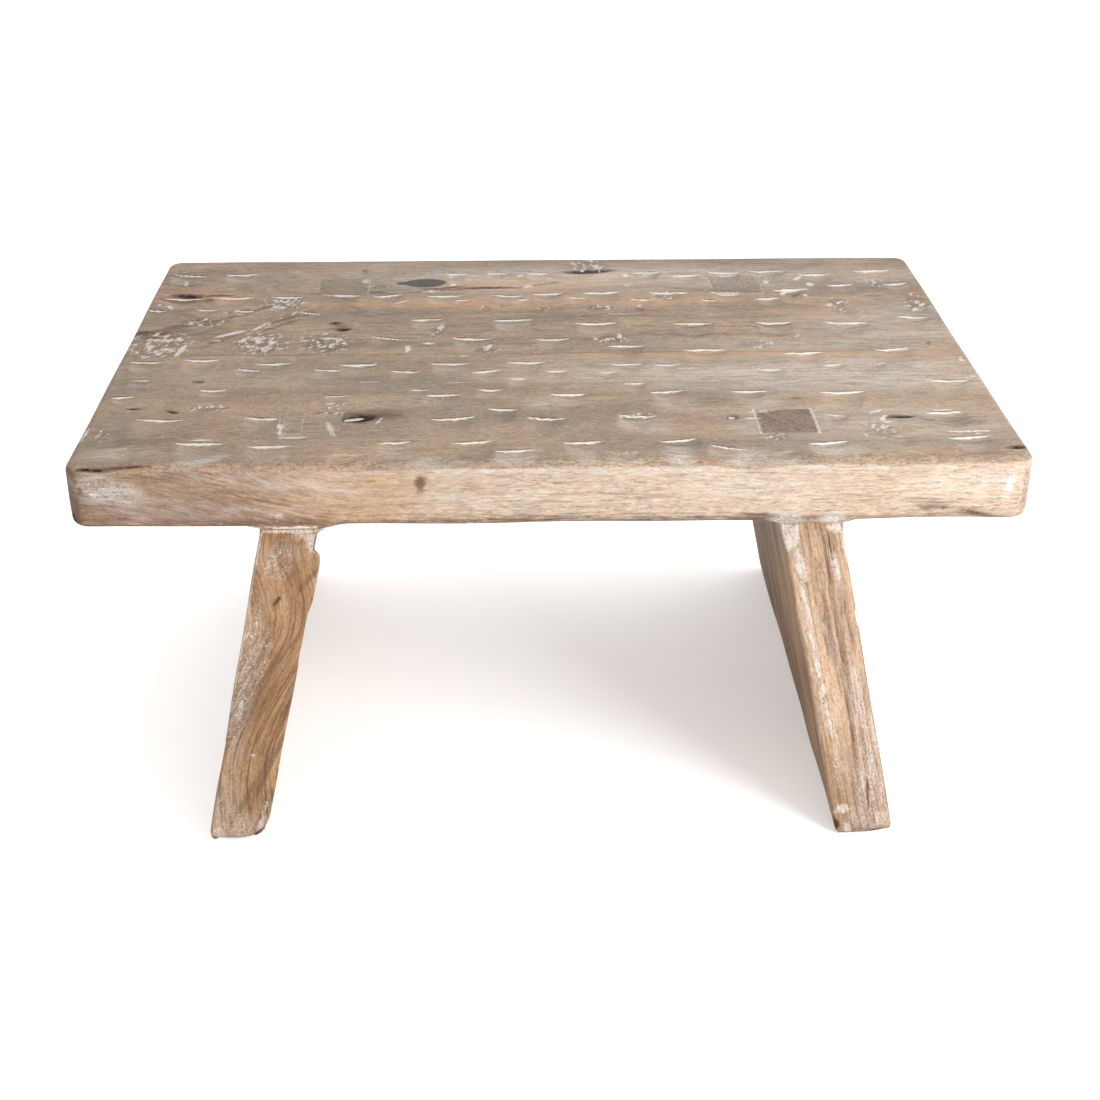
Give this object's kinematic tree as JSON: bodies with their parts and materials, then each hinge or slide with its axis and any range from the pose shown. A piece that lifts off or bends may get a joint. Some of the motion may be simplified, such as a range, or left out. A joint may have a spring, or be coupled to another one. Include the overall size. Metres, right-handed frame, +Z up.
{
  "type": "stool",
  "caption": "Low wooden stool: thick carved plank seat of edge-joined boards on splayed slab legs whose through tenons show on the seat top",
  "frame": {"origin": "centre of the bounding box at floor level, under the middle of the seat", "axes": "+X along the seat's long side to the right, +Y to the rear, +Z up"},
  "size_m": [0.6, 0.4, 0.288],
  "materials": {
    "seat_wood": "matt whitewashed and sanded, gouge cut",
    "leg_wood": "matt with rubbed whitewash",
    "shim_wood": "matt end grain",
    "dowel_wood": "raw turned wood"
  },
  "bodies": {
    "root": {"front_board": "seat_wood", "rear_board": "seat_wood", "left_leg": "leg_wood", "right_leg": "leg_wood", "tenon_shim": "shim_wood", "seat_dowels": "dowel_wood"}
  },
  "joints": []
}
